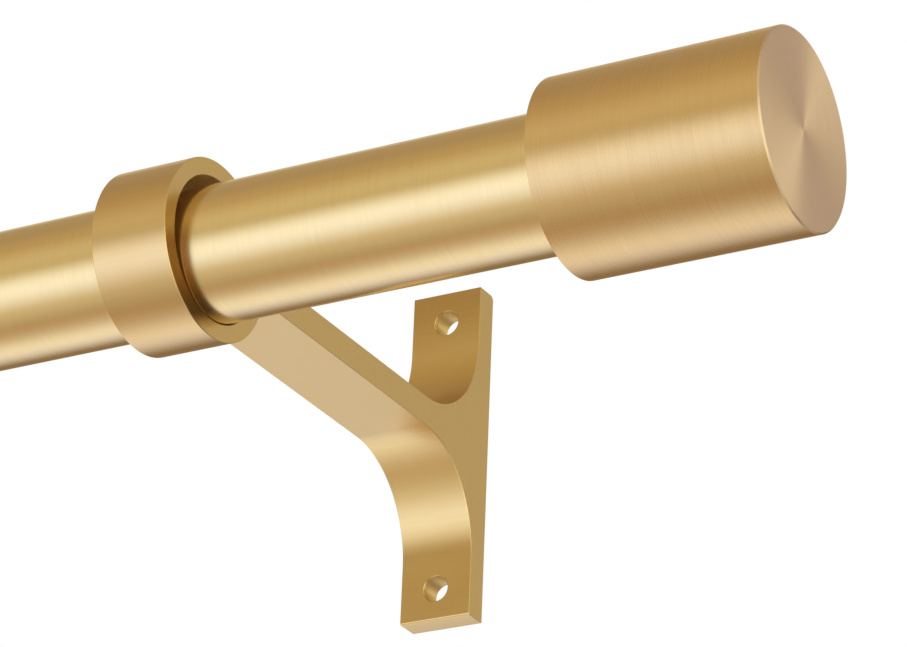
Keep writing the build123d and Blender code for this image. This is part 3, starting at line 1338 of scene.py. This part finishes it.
@dataclass(frozen=True)
class Bracket:
    """Ring, arm and wall plate in one extrusion.

    Args:
        node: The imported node.
        body: The half of the rod that it belongs to.
        ring_radius: Outer radius of the ring.
        bore_radius: Radius of its bore.
        arm: Thickness of the arm.
        plate: Thickness of the wall plate.
        fillet: Radius between arm and plate.
        top_corner: Radius of the plate's upper corner at the wall.
        foot_edge: Radius of the plate's lower front edge.
        rim: Chamfer of all rims of the sawn ends.
        hole_radius: Radius of the wall holes.
        hole_pitch: Distance between them.
        hole_edge: Eased edge of the holes.
        screw_hole_radius: Radius of the grub screw's hole.
        sink: Width of its countersink.
        steps_at_arm: Flats of the ring's round that the arm stands in place of.
    """

    node: str
    body: str
    ring_radius: float = RING_RADIUS
    bore_radius: float = BORE_RADIUS
    arm: float = 6.0 * MM
    plate: float = 5.3 * MM
    fillet: float = 20.0 * MM
    top_corner: float = 1.1 * MM
    foot_edge: float = 0.4 * MM
    rim: float = 0.09 * MM
    hole_radius: float = WALL_HOLE_RADIUS
    hole_pitch: float = WALL_HOLE_PITCH
    hole_edge: float = 0.15 * MM
    screw_hole_radius: float = 2.05 * MM
    sink: float = 0.5 * MM
    steps_at_arm: int = 12

    def build(self, material: bpy.types.Material) -> None:
        """Makes the bracket from the box of its node.

        Args:
            material: Its finish.
        """
        low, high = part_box(self.node)
        middle = Vector(((low.x + high.x) / 2, low.y + self.ring_radius, (low.z + high.z) / 2))
        piece = self.extrusion(low, high, middle)
        piece.cut(*self.wall_drills(high, middle), self.ring_drill(middle))
        piece.finish(self.node, self.body, "bracket", material)

    def extrusion(self, low: Vector, high: Vector, middle: Vector) -> Workpiece:
        """Draws the outline, fills it and pulls it to the bracket's width.

        Args:
            low: Lowest corner of the bracket.
            high: Highest corner.
            middle: Middle of the ring.

        Returns:
            The blank, with chamfered rims.
        """
        blank = Workpiece()
        pen = Pen(blank.mesh, low.x + self.rim)
        half_arm = self.arm / 2
        start_angle = math.asin(half_arm / self.ring_radius)
        neck = middle.y + self.ring_radius * math.cos(start_angle)
        front = high.y - self.plate
        pen.start(neck, middle.z + half_arm)
        pen.arc((middle.y, middle.z), TURN - 2 * start_angle, ROUND_STEPS - self.steps_at_arm)
        bend = front - self.fillet
        pen.line(bend, middle.z - half_arm)
        pen.arc((bend, middle.z - half_arm - self.fillet), -math.pi / 2, FINE_STEPS // 2)
        pen.line(front, low.z + self.foot_edge)
        pen.arc((front + self.foot_edge, low.z + self.foot_edge), math.pi / 2, CORNER_STEPS)
        pen.line(high.y, low.z)
        pen.line(high.y, high.z - self.top_corner)
        pen.arc((high.y - self.top_corner, high.z - self.top_corner), math.pi / 2, CORNER_STEPS)
        pen.line(front, high.z)
        pen.line(front, middle.z + half_arm + self.fillet)
        pen.arc((bend, middle.z + half_arm + self.fillet), -math.pi / 2, FINE_STEPS // 2)
        pen.close()
        at_ring = Matrix.Translation((low.x + self.rim, middle.y, middle.z))
        bore = at_ring @ Matrix.Rotation(math.pi / 2, 4, "Y")
        bmesh.ops.create_circle(blank.mesh, radius=self.bore_radius, segments=ROUND_STEPS, matrix=bore)
        bmesh.ops.triangle_fill(blank.mesh, use_beauty=True, use_dissolve=False, edges=blank.mesh.edges[:])
        return self.pull(blank, high.x - low.x)

    def pull(self, blank: Workpiece, width: float) -> Workpiece:
        """Extrudes the filled outline along the rod and chamfers both rims.

        Args:
            blank: The filled outline.
            width: Width of the bracket.

        Returns:
            The blank.
        """
        near = blank.mesh.faces[:]
        pulled = bmesh.ops.extrude_face_region(blank.mesh, geom=near, use_keep_orig=True)["geom"]
        moved = [item for item in pulled if isinstance(item, bmesh.types.BMVert)]
        bmesh.ops.translate(blank.mesh, vec=(width - 2 * self.rim, 0, 0), verts=moved)
        far = [item for item in pulled if isinstance(item, bmesh.types.BMFace)]
        bmesh.ops.recalc_face_normals(blank.mesh, faces=blank.mesh.faces[:])
        bmesh.ops.inset_region(blank.mesh, faces=near + far, use_boundary=True, use_even_offset=True,
                               thickness=self.rim, depth=self.rim)
        return blank

    def wall_drills(self, high: Vector, middle: Vector) -> list[Workpiece]:
        """Tools for the two wall holes, with eased mouths.

        Args:
            high: Highest corner of the bracket.
            middle: Middle of the ring.

        Returns:
            The two tools.
        """
        edge = self.hole_edge
        wide = self.hole_radius + 3 * edge
        outside = 2 * edge
        section = [
            (-self.plate - outside, 0), (-self.plate - outside, wide), (-self.plate + edge, self.hole_radius),
            (-edge, self.hole_radius), (outside, wide), (outside, 0),
        ]
        drills = []
        for way in (1, -1):
            mouth = Vector((middle.x, high.y, middle.z + way * self.hole_pitch / 2))
            drills.append(Workpiece().turn(section, Spindle(mouth, Way.TO_WALL), FINE_STEPS))
        return drills

    def ring_drill(self, middle: Vector) -> Workpiece:
        """The tool for the grub screw's hole, between the ring's top and the wall."""
        return screw_hole(middle, Way.LEANING_BACK, self.bore_radius / 2, self.ring_radius,
                          self.screw_hole_radius, self.sink)


class Pen:
    """Draws an outline in a plane square to the rod."""

    def __init__(self, mesh: bmesh.types.BMesh, plane_x: float) -> None:
        """Takes the mesh to draw in and the plane's place along the rod.

        Args:
            mesh: The mesh.
            plane_x: The plane's X.
        """
        self.mesh = mesh
        self.plane_x = plane_x
        self.tip: bmesh.types.BMVert | None = None
        self.first: bmesh.types.BMVert | None = None

    def start(self, y: float, z: float) -> None:
        """Sets the pen down."""
        self.first = self.tip = self.mesh.verts.new((self.plane_x, y, z))

    def line(self, y: float, z: float) -> None:
        """Draws a straight line to a point."""
        drawn = bmesh.ops.extrude_vert_indiv(self.mesh, verts=[self.tip])["verts"]
        drawn[0].co = (self.plane_x, y, z)
        self.tip = drawn[0]

    def arc(self, centre: tuple[float, float], angle: float, steps: int) -> None:
        """Draws an arc about a centre, anticlockwise seen from +X where the angle is positive.

        Args:
            centre: The arc's centre in Y and Z.
            angle: How far it turns.
            steps: Straight pieces in it.
        """
        pivot = Vector((self.plane_x, *centre))
        drawn = spin(self.mesh, [self.tip], pivot, Way.ALONG.value, angle, steps)
        self.tip = next(item for item in drawn if isinstance(item, bmesh.types.BMVert))

    def close(self) -> None:
        """Draws a straight line back to the start."""
        self.mesh.edges.new((self.tip, self.first))


def bore_for_thin_tube(gap: float) -> float:
    """Radius of a bore that leaves this much room round the thin tube."""
    low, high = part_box("inner_tube")
    return (high.z - low.z) / 2 + gap


@dataclass(frozen=True)
class MouthBush:
    """The slit plastic bush in the wide tube's mouth.

    Args:
        lip: Thickness of its lip.
        lip_height: How far the lip stands out from the part in the wide tube.
        wall_gap: Room between its bore and the thin tube.
        slit: Width of the slit.
        lip_edge: Radius of the lip's outer corner.
    """

    lip: float = 1.2 * MM
    lip_height: float = 1.01 * MM
    wall_gap: float = 0.05 * MM
    slit: float = 1.2 * MM
    lip_edge: float = 0.4 * MM

    def build(self, material: bpy.types.Material) -> None:
        """Makes the bush from the boxes of its node and the two tubes.

        Args:
            material: Its finish.
        """
        low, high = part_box("mouth_bush")
        bore = bore_for_thin_tube(self.wall_gap)
        radius = (high.z - low.z) / 2
        seat = radius - self.lip_height
        seat_start = low.x + self.lip
        bush = Workpiece().turn([
            (low.x, bore), (low.x, radius), (seat_start, radius), (seat_start, seat), (high.x, seat),
            (high.x, bore)], ROD)

        def lip_corner(point: Vector) -> bool:
            """Says whether a point lies on the lip's outer front corner."""
            return abs(point.x - low.x) < WELD and (point - AXIS).yz.length > seat

        bush.ease(self.lip_edge, lip_corner, segments=4)
        half = self.slit / 2
        bush.cut(block(Vector((low.x - self.lip, AXIS.y + bore / 2, AXIS.z - half)),
                       Vector((high.x + self.lip, AXIS.y + 2 * radius, AXIS.z + half))))
        bush.finish("mouth_bush", FIXED, "glide", material)


@dataclass(frozen=True)
class GlidePlug:
    """The ring-shaped plug in the thin tube's hidden end, with a fluted head.

    Args:
        head: Length of the head.
        stem_radius: Radius of the part inside the thin tube.
        wall: Wall of the stem.
        flutes: Flutes round the head.
        flute_width: Width of a flute.
        flute_depth: Depth of a flute.
        lead: Width of its chamfers.
    """

    head: float = 3.0 * MM
    stem_radius: float = 10.19 * MM
    wall: float = 2.0 * MM
    flutes: int = 4
    flute_width: float = 2.4 * MM
    flute_depth: float = 0.6 * MM
    lead: float = 0.5 * MM

    def build(self, material: bpy.types.Material) -> None:
        """Makes the plug from the box of its node.

        Args:
            material: Its finish.
        """
        low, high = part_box("glide_plug")
        radius = (high.z - low.z) / 2
        step = high.x - self.head
        bore = self.stem_radius - self.wall
        plug = Workpiece().turn([
            (low.x, bore), (low.x, self.stem_radius), (step, self.stem_radius), (step, radius),
            (high.x, radius), (high.x, bore)], ROD)

        def leading(point: Vector) -> bool:
            """Says whether a point lies on an outer corner of the plug."""
            return (point - AXIS).yz.length > self.stem_radius - WELD and abs(point.x - step) > WELD

        plug.ease(self.lead, leading, segments=3)
        plug.cut(*(self.flute(step, high.x, radius, turn) for turn in range(self.flutes)))
        plug.finish("glide_plug", SLIDING, "plug", material)

    def flute(self, start: float, stop: float, radius: float, turn: int) -> Workpiece:
        """A tool for one flute of the head.

        Args:
            start: Where the head starts.
            stop: Where it ends.
            radius: Its radius.
            turn: Which flute.

        Returns:
            The tool.
        """
        half = self.flute_width / 2
        reach = self.flute_depth
        tool = block(Vector((start, AXIS.y - half, AXIS.z + radius - reach)),
                     Vector((stop + reach, AXIS.y + half, AXIS.z + radius + reach)))
        round_rod = Matrix.Rotation((turn + 0.5) * TURN / self.flutes, 3, "X")
        bmesh.ops.rotate(tool.mesh, cent=AXIS, matrix=round_rod, verts=tool.mesh.verts[:])
        return tool


@dataclass(frozen=True)
class CapSleeve:
    """The slit sleeve that fits the thin tube to the left cap's socket.

    Args:
        wall_gap: Room between its bore and the thin tube.
        slit: Width of its slit.
        window: Radius of the hole that the grub screw passes through.
        edge: Radius of its outer corner.
    """

    wall_gap: float = 0.01 * MM
    slit: float = 1.2 * MM
    window: float = 2.3 * MM
    edge: float = 0.4 * MM

    def build(self, material: bpy.types.Material) -> None:
        """Makes the sleeve from the boxes of its node, the thin tube and the screw.

        Args:
            material: Its finish.
        """
        low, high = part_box("finial_left_sleeve")
        bore = bore_for_thin_tube(self.wall_gap)
        # The slit lowers the box's upper side, so the radius is taken from the lower one.
        radius = AXIS.z - low.z
        sleeve = Workpiece().turn([(low.x, bore), (low.x, radius), (high.x, radius), (high.x, bore)], ROD)

        def hidden_corner(point: Vector) -> bool:
            """Says whether a point lies on the outer corner at the socket's bottom."""
            return abs(point.x - low.x) < WELD and (point - AXIS).yz.length > radius - WELD

        sleeve.ease(self.edge, hidden_corner, segments=3)
        screw_low, screw_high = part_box("finial_left_set_screw")
        under = AXIS + Vector(((screw_low.x + screw_high.x) / 2, 0, 0))
        window = Workpiece().turn([(0, 0), (0, self.window), (2 * radius, self.window), (2 * radius, 0)],
                                  Spindle(under, Way.TO_WALL), FINE_STEPS)
        half = self.slit / 2
        slit = block(Vector((low.x - half, AXIS.y - half, AXIS.z + bore / 2)),
                     Vector((high.x + half, AXIS.y + half, AXIS.z + 2 * radius)))
        sleeve.cut(window, slit)
        sleeve.finish("finial_left_sleeve", SLIDING, "plug", material)


def ring_middle(node: str) -> Vector:
    """The middle of a bracket's ring, from its box."""
    low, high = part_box(node)
    return Vector(((low.x + high.x) / 2, AXIS.y, (low.z + high.z) / 2))


def build_rod() -> None:
    """Makes and dresses every piece of the rod, half by half."""
    tube_brass = Brass(
        "tube_brass", (0.77, 0.59, 0.343), roughness=0.18, spread=0.55, lay=Lay.ROUND, centre=AXIS,
        lines_per_mm=6.0, contrast=0.035,
    ).make()
    cap_tones = (
        # The turned end faces have a finish of their own; their paler, rosier colour is also a painted
        # reflection of the light they face.
        Tone(Where.ENDS, (0.664, 0.519, 0.387), dulling=1.33),
        # Painted highlight: the paler eased corners tune the light line along the cap's rims.
        Tone(Where.RIM_HIGHLIGHT, (0.66, 0.52, 0.38)),
    )
    cap_brass = Brass(
        "cap_brass", (0.74, 0.525, 0.288), roughness=0.27, spread=0.9, lay=Lay.ROUND, centre=AXIS,
        contrast=0.045, tones=cap_tones, end_contrast=0.3,
    ).make()
    bracket_tones = (
        Tone(Where.ARM_AND_PLATE, (0.655, 0.455, 0.203), dulling=1.7),
        # Painted shade: the plate darker and duller towards its upper end.
        Tone(Where.SHADED_PLATE_TOP, (0.48, 0.29, 0.12), dulling=1.48),
        Tone(Where.ENDS, (0.613, 0.457, 0.19), dulling=1.4),
        # Painted light: paler faces that look down, as if lit from below.
        Tone(Where.LIT_UNDERSIDE, (0.80, 0.60, 0.32), dulling=1.75),
        Tone(Where.WALL_HOLES, (0.76, 0.58, 0.27), dulling=3.0),
        Tone(Where.BORE, (0.84, 0.66, 0.36), dulling=3.9),
    )
    steel = DarkSteel("dark_steel").make()
    nylon = Plastic("brass_tone_nylon", (0.50, 0.36, 0.18)).make()
    natural = Plastic("natural_nylon", (0.80, 0.78, 0.73)).make()
    Tube("outer_tube", FIXED, wall=1.0 * MM).build(tube_brass)
    Tube("inner_tube", SLIDING, wall=0.9 * MM).build(tube_brass)
    Cap("finial_right", FIXED, outward=1).build(cap_brass)
    Cap("finial_left", SLIDING, outward=-1).build(cap_brass)
    for side, body in (("right", FIXED), ("left", SLIDING)):
        bracket_brass = Brass(
            "bracket_brass_" + side, (0.70, 0.50, 0.275), roughness=0.18, spread=0.4, lay=Lay.DRAWN,
            centre=ring_middle("bracket_" + side), contrast=0.022, depth=0.6e-6, tones=bracket_tones,
            end_contrast=0.2,
        ).make()
        Bracket("bracket_" + side, body).build(bracket_brass)
        GrubScrew("bracket_" + side + "_set_screw", body, Way.LEANING_BACK).build(steel)
        GrubScrew("finial_" + side + "_set_screw", body, Way.TO_WALL).build(steel)
    MouthBush().build(nylon)
    GlidePlug().build(natural)
    CapSleeve().build(natural)


def main() -> None:
    """Builds the studio, the camera and the rod."""
    logging.basicConfig(level=logging.INFO, format="%(message)s")
    bpy.context.scene.view_settings.view_transform = "Standard"
    Studio().build()
    PhotoView().build()
    build_rod()


if __name__ == "__main__":
    main()
